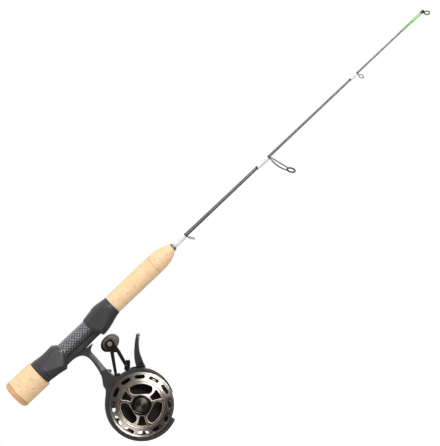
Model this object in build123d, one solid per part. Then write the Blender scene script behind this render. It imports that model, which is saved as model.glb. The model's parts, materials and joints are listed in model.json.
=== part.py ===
"""Ice fishing rod with an inline reel: one STEP file per separate piece, in millimetres.

The rod's axis is +X, from the rear grip towards the tip. The reel hangs below it (-Z) and its spool
turns about Y. The origin lies on the rod's axis at the middle of the rear grip.
"""
from math import acos, cos, pi, radians, sin, tan
import os

from build123d import *

# ---------------------------------------------------------------- driving dimensions, rod
grip_len = 37.0
grip_r = 15.8
butt_ring_len = 6.0
butt_round = 4.6
collar_len = 6.2
collar_r = 13.9
barrel_r = 8.6
barrel_bore_r = 6.6
barrel_end_x = 112.0
rear_hood_x0 = 24.9
rear_hood_x1 = 53.0
front_hood_x0 = 91.5
front_hood_x1 = 126.5
hood_mouth_r = 9.5
washer_t = 0.7
foregrip_r = 11.0
foregrip_joint_x = 188.0
foregrip_x1 = 215.8
thread_r = 6.5
thread_pitch = 3.0
thread_end_x = 148.0
nut_r = 8.2
slide_bore_r = 3.3
handle_blank_r = 2.5
blank_start_x = -8.0
running = 0.06

wrap_spans = {"front": (217.6, 234.4), "large": (341.6, 357.2), "small": (480.0, 489.0)}
wrap_radii = {"front": 2.9, "large": 2.35, "small": 1.7}
foot_radii = {"front": 0.0, "large": 0.5, "small": 0.29}
trim_len = 1.3
tip_sleeve_x = (557.5, 583.5)
tip_wrap_x0 = 570.0
tip_tube_x = (583.5, 588.0)
tip_tube_r = 1.4
guide_insert_wall = 0.35

# ---------------------------------------------------------------- driving dimensions, reel
spool_x = 75.8
spool_z = -99.8
spool_r = 35.1
spool_front_y = -12.6
spool_back_y = 7.6
flange_t = 1.6
drum_r = 26.0
drum_bore_r = 24.7
slot_count = 12
slot_ring_r = 30.2
slot_phase = 20.4
window_phase = 48.6
window_in_r = 11.3
window_out_r = 22.6
window_w = 24.4
hub_ring_r = 10.9
ring_r = 39.5
ring_bore_r = 35.6
ring_y = (-12.0, -6.5)
plate_y = (8.5, 10.5)
cover_y = 25.0
cover_wall = 1.7
shaft_r = 2.45
bearing_r = 5.5
hub_r = 9.6

gear_module = 0.6
drive_teeth = 50
pinion_teeth = 20
pressure_angle = 20.0
backlash = 0.10
gear_angle = 99.8
gear_distance = gear_module * (drive_teeth + pinion_teeth) / 2
handle_x = spool_x + gear_distance * cos(radians(gear_angle))
handle_z = spool_z + gear_distance * sin(radians(gear_angle))
handle_shaft_r = 3.0
handle_reach = 30.8
handle_arm_y = (38.2, 40.8)
knob_r = 6.2
knob_len = 17.0
knob_turn = 150.0

foot_x = (43.5, 103.9)
foot_half_w = 6.0
foot_bottom_z = -14.2
stem_half_w = 5.0

roller_x = 95.7
roller_z = -29.0
roller_r = 8.3
roller_half_w = 4.6
arm_y = (-8.4, -5.2)
arm_pad_x = 79.2

trigger_pin_x = 105.2
trigger_pin_z = -67.1
trigger_half_w = 5.0
yoke_angle = 48.9

nodes = {}


# ---------------------------------------------------------------- helpers
def add(name, *shapes):
    """Keep a node: one shape, or several separate solids under one name."""
    nodes[name] = shapes[0] if len(shapes) == 1 else Compound(children=[s.solid() for s in shapes])


def rod_x(x0, x1, radius, bore=0.0):
    """A cylinder or tube about the rod's axis."""
    body = Pos(x0, 0, 0) * Rot(Y=90) * Cylinder(radius, x1 - x0,
                                                align=(Align.CENTER, Align.CENTER, Align.MIN))
    if bore > 0:
        body -= Pos(x0 - 1, 0, 0) * Rot(Y=90) * Cylinder(bore, x1 - x0 + 2,
                                                         align=(Align.CENTER, Align.CENTER, Align.MIN))
    return body


def disc(x, z, y0, y1, radius, bore=0.0):
    """A cylinder or ring along Y about the point (x, z)."""
    low = (Align.CENTER, Align.CENTER, Align.MIN)
    body = Pos(x, y0, z) * Rot(X=-90) * Cylinder(radius, y1 - y0, align=low)
    if bore > 0:
        body -= Pos(x, y0 - 1, z) * Rot(X=-90) * Cylinder(bore, y1 - y0 + 2, align=low)
    return body


def slab(sketch, y0, y1):
    """Extrude a sketch drawn in (X, Z) from y0 to y1."""
    return extrude(Plane.XZ.offset(-y1) * sketch, amount=y1 - y0)


def turned_x(points):
    """Turn a closed outline of (x, radius) points about the rod's axis."""
    return revolve(make_face(Polyline(*points, close=True)), axis=Axis.X)


def turned_y(points, x=spool_x, z=spool_z):
    """Turn a closed outline of (radius, y) points about an axis along Y through (x, z)."""
    return Pos(x, 0, z) * revolve(make_face(Polyline(*points, close=True)), axis=Axis.Y)


def bar(start, end, radius):
    """A round bar between two points, with a ball at each end."""
    a = Vector(*start)
    b = Vector(*end)
    low = (Align.CENTER, Align.CENTER, Align.MIN)
    body = Plane(origin=a, z_dir=b - a) * Cylinder(radius, (b - a).length, align=low)
    return body + Pos(a) * Sphere(radius) + Pos(b) * Sphere(radius)


def polar(angle, radius, x=spool_x, z=spool_z):
    """The (X, Z) point at an angle and radius from an axis along Y."""
    return (x + radius * cos(radians(angle)), z + radius * sin(radians(angle)))


def sector(a0, a1, r0, r1, x=spool_x, z=spool_z):
    """An annular sector in (X, Z)."""
    steps = max(2, int((a1 - a0) / 20) + 1)
    angles = [a0 + (a1 - a0) * i / steps for i in range(steps + 1)]
    reach = 1.2 * r1
    wedge = make_face(Polyline((x, z), *[polar(a, reach, x, z) for a in angles], close=True))
    ring = Pos(x, z) * Circle(r1)
    if r0 > 0:
        ring -= Pos(x, z) * Circle(r0)
    return ring & wedge


# ---------------------------------------------------------------- rod: handle
def build_grip():
    half = grip_len / 2
    split = -half + butt_ring_len
    low = (-half, 0)
    profile = make_face(Polyline(low, (-half, grip_r), (split, grip_r), (split, 0), close=True))
    corner = profile.vertices().sort_by(Axis.Y)[-2:].sort_by(Axis.X)[0]
    profile = fillet(corner, butt_round)
    add("butt_ring", revolve(profile, axis=Axis.X))
    body = rod_x(split, half, grip_r) - rod_x(blank_start_x, half + 1, handle_blank_r)
    add("rear_grip", body)
    ring = turned_x([(half, barrel_r), (half, collar_r - 0.5), (half + 0.5, collar_r),
                     (half + collar_len - 0.4, collar_r), (half + collar_len, collar_r - 0.4),
                     (half + collar_len, barrel_r)])
    add("collar_ring", ring)


def hood_section(x, z, half_y, half_z, lean=0.0):
    """One elliptical section of a hood. A positive lean tips its top towards the tip."""
    normal = (cos(radians(lean)), 0, -sin(radians(lean)))
    return Plane(origin=(x, 0, z), x_dir=(0, 1, 0), z_dir=normal) * Ellipse(half_y, half_z)


def side_flats(x_thin, y_thin, x_wide, y_wide, z_mid):
    """The two solids that pare a hood's sides down to slanting flats."""
    reach = 40
    slope = (y_wide - y_thin) / (x_wide - x_thin)
    edge = [(x, y_thin + slope * (x - x_thin)) for x in (x_thin - reach, x_wide + reach)]
    outer = make_face(Polyline(edge[0], edge[1], (edge[1][0], reach), (edge[0][0], reach), close=True))
    block = Pos(0, 0, z_mid - reach) * extrude(outer, amount=2 * reach)
    return block + mirror(block, about=Plane.XZ)


def foot_pocket(x0, x1, half_w, bottom_z):
    """The space that a hood leaves for the reel's foot."""
    top_z = -barrel_r + 1.5
    size = (x1 - x0, 2 * half_w, top_z - bottom_z)
    return Pos((x0 + x1) / 2, 0, (top_z + bottom_z) / 2) * Box(*size)


def build_hoods():
    waist = hood_section(36.0, -1.5, 13.6, 14.1)
    crest = hood_section(45.4, -2.0, 14.2, 15.4, 9)
    body = loft([hood_section(rear_hood_x0, -0.3, 13.8, 13.9), waist, crest])
    body += loft([crest, hood_section(rear_hood_x1, 0, hood_mouth_r, hood_mouth_r)], ruled=True)
    body -= side_flats(46.0, 11.0, rear_hood_x0, 13.7, 0)
    body -= rod_x(rear_hood_x0 - 1, rear_hood_x1 + 1, barrel_r)
    body -= foot_pocket(foot_x[0] - 1, rear_hood_x1 + 1, foot_half_w + 0.15, foot_bottom_z - 0.15)
    add("rear_hood", body)

    tail = hood_section(front_hood_x1, -0.5, 10.9, 10.9)
    middle = hood_section(114.5, -1.2, 12.5, 13.2)
    belly = hood_section(107.0, -2.2, 13.3, 14.6, 6)
    crest = hood_section(101.0, -3.0, 13.4, 14.9, 13.4)
    body = loft([tail, middle, belly, crest])
    body += loft([crest, hood_section(front_hood_x0, 0, hood_mouth_r, hood_mouth_r)], ruled=True)
    body -= side_flats(99.0, 10.9, front_hood_x1 - 2, 11.6, 0)
    body -= rod_x(front_hood_x0 - 1, front_hood_x1 + 1, barrel_r + running)
    body -= foot_pocket(front_hood_x0 - 1, foot_x[1] + 0.7, foot_half_w + 0.35, foot_bottom_z - 0.35)
    add("front_hood", body)
    add("thrust_washer", rod_x(front_hood_x1, front_hood_x1 + washer_t, 10.6, thread_r + 0.6))


def build_barrel():
    half = grip_len / 2
    add("seat_barrel", rod_x(half, barrel_end_x, barrel_r, barrel_bore_r))
    sleeve = [(104, handle_blank_r), (104, barrel_bore_r), (barrel_end_x, barrel_bore_r),
              (barrel_end_x, thread_r)]
    x = barrel_end_x + 6
    while x + thread_pitch < thread_end_x:
        sleeve += [(x, thread_r), (x + 0.9, thread_r - 0.7), (x + 1.8, thread_r)]
        x += thread_pitch
    sleeve += [(thread_end_x, thread_r), (thread_end_x, handle_blank_r)]
    add("thread_sleeve", turned_x(sleeve))
    add("seat_arbors", rod_x(28, 44, barrel_bore_r, handle_blank_r),
        rod_x(70, 86, barrel_bore_r, handle_blank_r))


def build_foregrip():
    x0 = front_hood_x1 + washer_t
    nut_x = (x0 + 0.8, x0 + 16)
    cork = rod_x(x0, foregrip_joint_x, foregrip_r)
    cork -= rod_x(x0 - 1, nut_x[1], nut_r)
    cork -= rod_x(x0, thread_end_x + 14, thread_r + 0.5)
    cork -= rod_x(x0, foregrip_joint_x + 1, slide_bore_r)
    add("foregrip_cork", cork)
    add("foregrip_nut", rod_x(nut_x[0], nut_x[1], nut_r, thread_r + running))
    inner = Line((foregrip_x1, slide_bore_r), (foregrip_joint_x, slide_bore_r))
    back = Line((foregrip_joint_x, slide_bore_r), (foregrip_joint_x, foregrip_r))
    crown = Spline((foregrip_joint_x, foregrip_r), (200, 10.4), (209, 9.3), (213.6, 7.7),
                   (foregrip_x1, 4.3),
                   tangents=[(1, 0), (0.25, -1)])
    front = Line((foregrip_x1, 4.3), (foregrip_x1, slide_bore_r))
    nose = make_face([inner.edge(), back.edge(), crown.edge(), front.edge()])
    add("foregrip_nose", revolve(nose, axis=Axis.X))
    x1 = foregrip_x1
    check = [(x1, slide_bore_r), (x1, 4.3), (x1 + 0.7, 4.5), (x1 + 1.4, 4.2), (x1 + 2.4, 3.7),
             (x1 + 2.4, slide_bore_r)]
    add("winding_check", turned_x(check))


# ---------------------------------------------------------------- rod: blank, wraps and guides
blank_profile = [(blank_start_x, handle_blank_r), (205.0, handle_blank_r), (217.0, 2.15),
                 (339.0, 1.68), (360.0, 1.45),
                 (464.0, 1.2), (490.0, 1.05), (587.0, 0.9)]


def blank_radius(x):
    """The blank's radius where it crosses x."""
    for (xa, ra), (xb, rb) in zip(blank_profile, blank_profile[1:]):
        if xa <= x <= xb:
            return ra + (rb - ra) * (x - xa) / (xb - xa)
    return blank_profile[-1][1]


def wrap_body(x0, x1, radius):
    """A thread wrap: a tube on the blank whose ends run down to it."""
    ramp = 1.2
    return turned_x([(x0, blank_radius(x0)), (x0, blank_radius(x0) + 0.25), (x0 + ramp, radius),
                     (x1 - ramp, radius),
                     (x1, blank_radius(x1) + 0.25), (x1, blank_radius(x1))])


def build_blank():
    start, end = blank_profile[0][0], blank_profile[-1][0]
    add("rod_blank", turned_x([(start, 0), *blank_profile, (end, 0)]))
    wires = nodes["large_guide_frame"] + nodes["small_guide_frame"] + nodes["hook_keeper"]
    blank = nodes["rod_blank"]
    trims = []
    for name, (x0, x1) in wrap_spans.items():
        wrap = wrap_body(x0, x1, wrap_radii[name])
        foot_r = foot_radii[name]
        if foot_r > 0:
            foot_z = -blank_radius(x1) - foot_r
            wrap += bar((x0 + 4, 0, foot_z), (x1 - 1.5, 0, foot_z), foot_r + 0.35)
            wrap -= blank
        add(f"{name}_wrap", wrap - wires)
        for x in (x0 - trim_len, x1):
            r0 = blank_radius(x)
            r1 = blank_radius(x + trim_len)
            trim = turned_x([(x, r0), (x, r0 + 0.3), (x + trim_len, r1 + 0.3), (x + trim_len, r1)])
            trims.append(trim - wires)
    add("wrap_trims", *trims)
    x0, x1 = tip_sleeve_x
    add("tip_sleeve", turned_x([(x0, blank_radius(x0)), (x0, 1.15), (x0 + 0.4, 1.25), (x1, 1.25),
                                (x1, blank_radius(x1))]))
    add("tip_wrap", turned_x([(tip_wrap_x0, 1.25), (tip_wrap_x0, 1.4), (tip_wrap_x0 + 1, 1.6),
                              (x1 - 1, 1.6), (x1, 1.4),
                              (x1, 1.25)]))


def ring_plane(x, z, droop, turn):
    """The plane of a guide ring: droop is its long axis below +X, turn swings it about that axis."""
    long_axis = Vector(cos(radians(droop)), 0, -sin(radians(droop)))
    across = Vector(sin(radians(droop)), 0, cos(radians(droop)))
    wide = across * sin(radians(turn)) + Vector(0, 1, 0) * cos(radians(turn))
    return Plane(origin=(x, 0, z), x_dir=long_axis, z_dir=long_axis.cross(wide))


def guide(name, plane, major, wire, insert, feet, foot_end):
    """A wire guide: a loop, two legs from the blank to it, a foot along the blank, and a ring in the loop."""
    inner = major - wire + 0.02
    wall = min(guide_insert_wall, 0.12 * inner)
    loop = plane * Torus(major, wire)
    loop -= plane * Cylinder(inner, 4 * wire)
    for foot, angle in feet:
        seat = plane * Pos(major * cos(radians(angle)), major * sin(radians(angle)), 0)
        loop += bar(foot, tuple(seat.position), 0.8 * wire)
    foot_z = feet[0][0][2]
    loop += bar((foot_end, 0, foot_z), (feet[0][0][0], 0, foot_z), 0.8 * wire)
    loop += bar((feet[0][0][0], 0, foot_z), feet[0][0], 0.8 * wire)
    loop += bar((feet[0][0][0], 0, foot_z), feet[1][0], 0.8 * wire)
    loop -= plane * Cylinder(inner, 4 * wire)
    add(f"{name}_frame", loop)
    ring = plane * (Cylinder(inner, insert) - Cylinder(inner - wall, 2 * insert))
    add(f"{name}_ring", ring)


def build_guides():
    large = ring_plane(366.0, -27.1, 58, 33)
    foot_z = -blank_radius(357) - 0.62
    guide("large_guide", large, 4.6, 0.62, 1.5,
          [((358.2, -0.5, foot_z), 210), ((359.4, 0.5, foot_z), 142)], 346.0)
    small = ring_plane(490.4, -5.6, 64, 42)
    foot_z = -blank_radius(488) - 0.36
    guide("small_guide", small, 2.9, 0.36, 0.8,
          [((489.6, -0.3, foot_z), 205), ((490.0, 0.3, foot_z), 150)], 483.0)
    tip = ring_plane(588.9, -4.5, 42, 50)
    guide("tip_top", tip, 2.9, 0.45, 0.9, [((586.0, -0.6, -tip_tube_r - 0.2), 205),
                                           ((587.4, 0.4, -tip_tube_r - 0.2), 140)], 584.4)
    x0, x1 = tip_tube_x
    socket = rod_x(x0 - 1, blank_profile[-1][0], blank_radius(x0))
    nodes["tip_top_frame"] = nodes["tip_top_frame"] + rod_x(x0, x1, tip_tube_r) - socket
    keeper_plane = ring_plane(237.7, -6.6, 58, 26)
    path = (keeper_plane * SlotOverall(6.6, 3.2)).wire()
    start = Plane(origin=path @ 0, z_dir=path % 0)
    keeper = sweep(start * Circle(0.42), path=path)
    for side in (-1, 1):
        keeper += bar((235.9, 0.45 * side, -2.45), (236.5, 0.9 * side, -4.4), 0.42)
    keeper += bar((234.0 + 0.95, 0, -2.6), (235.9, 0.45, -2.45), 0.42)
    keeper += bar((234.0 + 0.95, 0, -2.6), (235.9, -0.45, -2.45), 0.42)
    add("hook_keeper", keeper)


# ---------------------------------------------------------------- reel: frame
trim_shift = 4.1
trim_angle = -40.0
gap_angles = (-68.5, -23.0)
gap_r = 34.6
back_openings = [(146, 200, 26.5, 35.0), (219, 246, 27.5, 34.0)]
rib_pitch = 3.0
rib_depth = 0.5
rib_gap = 1.0


def frame_outline():
    """The frame's outline: a round that thins towards the lower front and steps in at the gap."""
    full = Pos(spool_x, spool_z) * Circle(ring_r)
    lens = Pos(*polar(trim_angle + 180, trim_shift)) * Circle(ring_r + 0.05)
    outline = (full & lens) + sector(-128, gap_angles[0], 0, ring_r)
    return outline - sector(gap_angles[0], gap_angles[1], gap_r, ring_r + 3)


def housing_outline(grow=0.0):
    """The gear housing's outline: the hull of rounds at the spool, the drive gear and the trigger."""
    rounds = [(spool_x, spool_z, 13.0), (handle_x, handle_z, 18.6), (*polar(yoke_angle, 29.0), 7.5)]
    edges = [(Pos(x, z) * Circle(r + grow)).edge() for x, z, r in rounds]
    return make_hull(edges)


def cover_screw_points():
    """Where the side cover is screwed to the frame."""
    tx, tz = polar(yoke_angle, 29.0)
    return [polar(165, 20.4, handle_x, handle_z), polar(-20, 9.3, tx, tz), polar(-60, 14.8),
            polar(205, 14.8)]


def stem_outline():
    """The stem's outline in (X, Z): two flowing sides from the foot down into the frame."""
    ends = [(54.0, foot_bottom_z), polar(129, ring_r), polar(84, ring_r), (88.0, foot_bottom_z)]
    rear = Spline(ends[0], (60.8, -15.4), (66.2, -18.9), (68.6, -24.5), (68.6, -32.0),
                  (67.2, -41.0), (64.2, -50.0),
                  (59.6, -57.6), ends[1],
                  tangents=[(1, -0.04), (-sin(radians(129)), cos(radians(129)))])
    front = Spline(ends[2], (76.2, -58.6), (74.4, -53.5), (74.2, -36.0), (74.6, -24.0),
                   (76.8, -18.9), (81.0, -15.7),
                   ends[3], tangents=[(-sin(radians(84)), cos(radians(84))), (1, 0.04)])
    low = Polyline(ends[1], (60.0, -76.0), (80.0, -72.0), ends[2])
    high = Polyline(ends[3], (ends[3][0], -9.0), (ends[0][0], -9.0), ends[0])
    return make_face([rear.edge(), *low.edges(), front.edge(), *high.edges()])


def build_stem():
    waist_z = -36.0
    flares = []
    for out, y in ((-1, ring_y[0]), (1, plate_y[1])):
        flare = Spline((out * stem_half_w, waist_z), (out * (stem_half_w + 1.2), waist_z - 13), (y, -62.0),
                       tangents=[(0, -1), (0, -1)])
        flares.append(flare.edge())
    bottom = Polyline((ring_y[0], -62.0), (ring_y[0], -80.0), (plate_y[1], -80.0), (plate_y[1], -62.0))
    top = Polyline((stem_half_w, waist_z), (stem_half_w, 0), (-stem_half_w, 0),
                   (-stem_half_w, waist_z))
    side = make_face([*flares, *bottom.edges(), *top.edges()])
    side = Pos(40, 0, 0) * extrude(Plane.YZ * side, amount=60)
    stem = slab(stem_outline(), ring_y[0], plate_y[1]) & side
    edge = (-stem_half_w, stem_half_w)
    for y in edge:
        deep = 1.5 if y < 0 else -1.5
        wide = Polyline((75.2, y - 0.1 * deep), (75.2, y + deep), (70.6, y - 0.1 * deep), close=True)
        thin = Polyline((75.6, y - 0.1 * deep), (75.6, y + 0.05 * deep), (75.2, y - 0.1 * deep),
                        close=True)
        cut = extrude(Plane.XY.offset(-44) * make_face(wide), amount=20)
        cut += loft([Plane.XY.offset(-24) * make_face(wide), Plane.XY.offset(-17) * make_face(thin)])
        cut += loft([Plane.XY.offset(-44) * make_face(wide), Plane.XY.offset(-56) * make_face(thin)])
        stem -= cut
    web = make_face(Polyline((65.0, -12.0), (78.6, -12.0), (73.6, -18.4), (71.5, -22.3),
                             (69.3, -18.6), close=True))
    web = fillet(web.vertices(), 0.9)
    for y in edge:
        stem -= slab(web, min(y, y * 0.86), max(y, y * 0.86))
    return stem


def build_foot():
    x0, x1 = foot_x
    nose = 0.6
    side = [(x0, -8.0), (x1, -8.0), (x1, foot_bottom_z + nose), (x1 - nose, foot_bottom_z),
            (x0 + nose, foot_bottom_z), (x0, foot_bottom_z + nose)]
    foot = slab(make_face(Polyline(*side, close=True)), -foot_half_w, foot_half_w)
    foot = chamfer(foot.edges().filter_by(Axis.X).sort_by(Axis.Z)[:2], foot_half_w - stem_half_w)
    return foot - rod_x(x0 - 1, x1 + 1, barrel_r)


def build_frame():
    outline = frame_outline()
    bore = Pos(spool_x, spool_z) * Circle(ring_bore_r)
    front = slab(outline - bore, *ring_y)
    bars = sector(36, 128, ring_bore_r, ring_r) + sector(194, 214, ring_bore_r, ring_r)
    bars += sector(266, 288, ring_bore_r, ring_r)
    bars = slab(bars & outline, ring_y[0], plate_y[1])
    back = outline
    for opening in back_openings:
        cell = sector(*opening)
        back -= fillet(cell.vertices(), 1.6)
    back = slab(back, *plate_y)
    back -= disc(spool_x, spool_z, plate_y[0] - 1, plate_y[1] + 1, 6.4)
    stem = build_stem() - disc(spool_x, spool_z, ring_y[0] - 1, plate_y[0], ring_bore_r)
    frame = front + bars + back + stem + build_foot()
    low, high = 132.0, 360.0 + gap_angles[0] - 2
    grooves = []
    for i in range(int((high - low) / rib_pitch)):
        angle = low + rib_pitch * i
        x, z = polar(angle, ring_r)
        grooves.append(Pos(x, ring_y[0] + 2.4, z) * Rot(Y=-angle) * Box(2 * rib_depth, 6.2, rib_gap))
    frame -= grooves
    boss_y = (plate_y[1] - 0.01, plate_y[1] + 3.0)
    frame += disc(handle_x, handle_z, *boss_y, 6.6)
    frame -= disc(handle_x, handle_z, plate_y[0] + 0.6, boss_y[1] + 1, 5.0)
    frame -= disc(handle_x, handle_z, plate_y[0] - 1, plate_y[1], 3.4)
    for x, z in cover_screw_points():
        frame -= disc(x, z, plate_y[0] - 1, plate_y[1] + 1, 1.0)
    add("reel_frame", frame)


def build_cover():
    shell = slab(housing_outline(), plate_y[1], cover_y)
    shell = chamfer(shell.faces().sort_by(Axis.Y)[-1].edges(), 1.2)
    shell -= slab(housing_outline(-cover_wall), plate_y[1] - 1, cover_y - cover_wall)
    shell += disc(handle_x, handle_z, cover_y - cover_wall, cover_y + 6.5, 9.4)
    shell -= disc(handle_x, handle_z, plate_y[1], cover_y + 5.2, 7.0)
    shell -= disc(handle_x, handle_z, plate_y[1], cover_y + 10, 4.7)
    shell += disc(spool_x, spool_z, cover_y - cover_wall - 0.5, cover_y - cover_wall + 0.1, 4.4)
    shell -= disc(spool_x, spool_z, plate_y[1], cover_y - 0.6, shaft_r)
    inside = slab(housing_outline(-cover_wall - 0.01), plate_y[1] - 1, cover_y - cover_wall - 0.5)
    screws = []
    for x, z in cover_screw_points():
        lug = disc(x, z, plate_y[1], plate_y[1] + 3.0, 3.0) - inside
        shell += lug
        hole = disc(x, z, plate_y[1] - 1, plate_y[1] + 4, 1.15)
        clear = disc(x, z, plate_y[1] + 3.0, cover_y + 1, 2.4)
        shell = shell - hole - clear
        screw = disc(x, z, plate_y[0], plate_y[1] + 3.0, 1.0)
        screw += disc(x, z, plate_y[1] + 3.0, plate_y[1] + 4.5, 2.0)
        screw -= Pos(x, plate_y[1] + 4.5, z) * Box(0.6, 1.2, 3.0)
        screws.append(screw)
    add("side_cover", shell)
    add("cover_screws", *screws)


# ---------------------------------------------------------------- reel: line guide
def build_guide_arm():
    eye = Pos(roller_x, roller_z) * Circle(5.0)
    left = make_face(Polyline((90.6, -34.6), (92.6, -38.6), (78.9, -58.4), (79.4, -60.3),
                              (74.2, -60.3), (75.4, -58.2),
                              close=True))
    right = make_face(Polyline((100.2, -31.0), (98.6, -42.0), (94.9, -56.2), (94.6, -58.6),
                               (90.9, -58.6), (91.4, -55.4),
                               (95.0, -40.4), (91.6, -38.0), (91.2, -31.5), close=True))
    flat = eye + left + right
    arm = slab(flat, *arm_y)
    arm -= disc(roller_x, roller_z, arm_y[0] - 1, arm_y[1] + 1, 1.5)
    pad_x, pad_z = arm_pad_x, spool_z + ring_r
    pad = Pos(pad_x, -3.6, pad_z + 0.75) * Box(4.6, 9.6, 1.5)
    arm += pad
    arm -= disc(spool_x, spool_z, ring_y[0] - 1, plate_y[1] + 1, ring_r)
    arm -= Pos(pad_x, -1.6, pad_z) * Cylinder(0.9, 8)
    block = make_face(Polyline((88.4, -59.2), (95.8, -53.2), (99.6, -56.6), (92.8, -63.4),
                               (88.4, -62.4), close=True))
    block = fillet(block.vertices().sort_by(Axis.Y)[-2:], 1.4)
    bracket = slab(block, arm_y[0] - 1.2, 2.0) - slab(offset(right, 0.12), *arm_y)
    bracket -= disc(spool_x, spool_z, ring_y[0] - 1, plate_y[1] + 1, ring_r)
    for i in range(3):
        x, z = 96.6 + 1.0 * i, -53.3 - 1.0 * i
        bracket -= Pos(x, -4, z) * Rot(Y=45) * Box(0.7, 14, 0.7)
    return arm, bracket


def build_line_guide():
    arm, bracket = build_guide_arm()
    frame = nodes["reel_frame"]
    add("guide_arm", arm - frame)
    add("arm_bracket", bracket - frame)
    pad_x = arm_pad_x
    pad_z = spool_z + ring_r + 1.5
    low = (Align.CENTER, Align.CENTER, Align.MIN)
    screws = [Pos(pad_x, -1.6, pad_z) * Cylinder(1.7, 1.0, align=low)]
    screws[0] += Pos(pad_x, -1.6, pad_z - 4.0) * Cylinder(0.9, 4.0, align=low)
    screws[0] -= Pos(pad_x, -1.6, pad_z + 1.0) * Box(0.5, 2.4, 0.8)
    x, z = 93.0, -57.4
    screws.append(disc(x, z, arm_y[0] - 1.9, arm_y[0], 1.6) + disc(x, z, arm_y[0] - 1.0, 1.0, 0.9))
    screws[1] -= Pos(x, arm_y[0] - 1.9, z) * Box(0.5, 0.8, 2.3)
    nodes["guide_arm"] = nodes["guide_arm"] - disc(x, z, arm_y[0] - 1, arm_y[1] + 1, 0.9)
    nodes["arm_bracket"] = nodes["arm_bracket"] - disc(x, z, arm_y[0] - 2, 1.0, 0.9)
    nodes["arm_bracket"] = nodes["arm_bracket"] - disc(x, z, arm_y[0] - 2, arm_y[0], 1.6)
    add("arm_screws", *screws)
    nodes["reel_frame"] = frame - screws[0]

    half = roller_half_w
    groove = [(2.6, -half), (5.4, -half), (7.7, -half), (roller_r, -half + 0.7),
              (roller_r, -half + 1.3), (5.2, -0.5),
              (5.2, 0.5), (roller_r, half - 1.3), (roller_r, half - 0.7), (7.7, half), (2.6, half)]
    roller = turned_y(groove, roller_x, roller_z)
    roller -= disc(roller_x, roller_z, -half - 0.1, -half + 0.6, 5.9, 4.2)
    add("guide_roller", roller)
    add("roller_bush", disc(roller_x, roller_z, -half, half, 2.6, 1.56))
    plate = Pos(roller_x, roller_z + 0.6) * Ellipse(11.4, 8.4)
    plate = slab(plate, half + 0.3, half + 2.1)
    plate = chamfer(plate.edges(), 0.5) - disc(roller_x, roller_z, half, half + 3, 1.5)
    add("line_keeper", plate)
    head_y = arm_y[0] - 1.3
    axle = [(0, head_y), (2.2, head_y), (2.6, head_y + 0.4), (2.6, arm_y[0]), (1.5, arm_y[0]),
            (1.5, half + 2.8),
            (1.2, half + 3.1), (0, half + 3.1)]
    axle = turned_y(axle, roller_x, roller_z)
    axle -= Pos(roller_x, head_y, roller_z) * Rot(Y=30) * Box(0.6, 1.0, 5.0)
    add("roller_axle", axle)


# ---------------------------------------------------------------- reel: trigger and clutch
def build_trigger():
    pin = (trigger_pin_x, trigger_pin_z)
    upper = Spline((99.8, -65.6), (104.3, -58.2), (107.8, -54.1), (111.5, -50.3), (115.4, -46.7),
                   (119.7, -43.3), (123.1, -41.1))
    tip = ThreePointArc((123.1, -41.1), (125.3, -41.7), (126.1, -43.5))
    lower = Spline((126.1, -43.5), (120.7, -47.9), (117.6, -50.8), (115.1, -53.9), (112.6, -57.4),
                   (110.1, -62.5), (108.0, -67.6), (106.8, -72.6))
    heel = Polyline((106.8, -72.6), (103.4, -72.2), (99.8, -68.0), (99.8, -65.6))
    blade = make_face([upper.edge(), tip.edge(), lower.edge(), *heel.edges()])
    trigger = slab(blade, -trigger_half_w, trigger_half_w)
    trigger -= slab(Pos(*pin) * Circle(8.2), -3.4, 3.4)
    for i in range(7):
        at = upper @ (0.56 + 0.06 * i)
        trigger -= Pos(at.X, 0, at.Y) * Rot(Y=45) * Box(0.9, 20, 0.9)
    trigger -= disc(*pin, -6, 6, 1.3)
    trigger -= disc(spool_x, spool_z, -20, 20, ring_r + 1.9)
    add("trigger", trigger)

    base = slab(sector(41.0, 64.0, ring_r, ring_r + 1.6), -3.3, 3.3)
    ear = make_face(Polyline(polar(42.5, ring_r + 0.5), polar(55.0, ring_r + 0.5), (103.9, -65.0),
                             (107.0, -68.4), close=True))
    ear += Pos(*pin) * Circle(2.4)
    ears = slab(ear, -3.2, 3.2) - disc(spool_x, spool_z, -20, 20, ring_r)
    bracket = base + ears - disc(*pin, -1.8, 1.8, 3.0) - disc(*pin, -6, 6, 1.2)
    add("trigger_bracket", bracket)
    pin_body = disc(*pin, -trigger_half_w - 0.5, trigger_half_w + 0.6, 1.2)
    pin_body += disc(*pin, -trigger_half_w - 0.5, -trigger_half_w - 0.1, 1.6)
    add("trigger_pin", pin_body)
    coil = Helix(pitch=0.62, height=2.8, radius=1.95)
    start = Plane(origin=coil @ 0, z_dir=coil % 0)
    spring = sweep(start * Circle(0.25), path=coil)
    add("trigger_spring", Pos(pin[0], -1.4, pin[1]) * Rot(X=-90) * spring)


def involute_points(teeth, phase):
    """The outline of an involute spur gear in its own plane, with a tooth centred on the phase angle."""
    pitch_r = gear_module * teeth / 2
    base_r = pitch_r * cos(radians(pressure_angle))
    root_r = pitch_r - 1.25 * gear_module
    tip_r = pitch_r + gear_module
    lean = tan(radians(pressure_angle)) - radians(pressure_angle)
    half = (pi * gear_module / 2 - backlash / 2) / (2 * pitch_r) + lean
    flank = []
    for i in range(4):
        radius = max(base_r, root_r) + (tip_r - max(base_r, root_r)) * i / 3
        roll = acos(min(1.0, base_r / radius))
        flank.append((radius, half - (tan(roll) - roll)))
    points = []
    for tooth in range(teeth):
        centre = radians(phase) + 2 * pi * tooth / teeth
        edge = [(root_r, -flank[0][1] - 0.004)] + [(r, -a) for r, a in flank]
        edge += [(r, a) for r, a in reversed(flank)] + [(root_r, flank[0][1] + 0.004)]
        points += [(r * cos(centre + a), r * sin(centre + a)) for r, a in edge]
    return points


def gear_body(x, z, teeth, phase, y0, y1):
    """A spur gear about an axis along Y."""
    face = Pos(x, z) * make_face(Polyline(*involute_points(teeth, phase), close=True))
    return slab(face, y0, y1)


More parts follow.
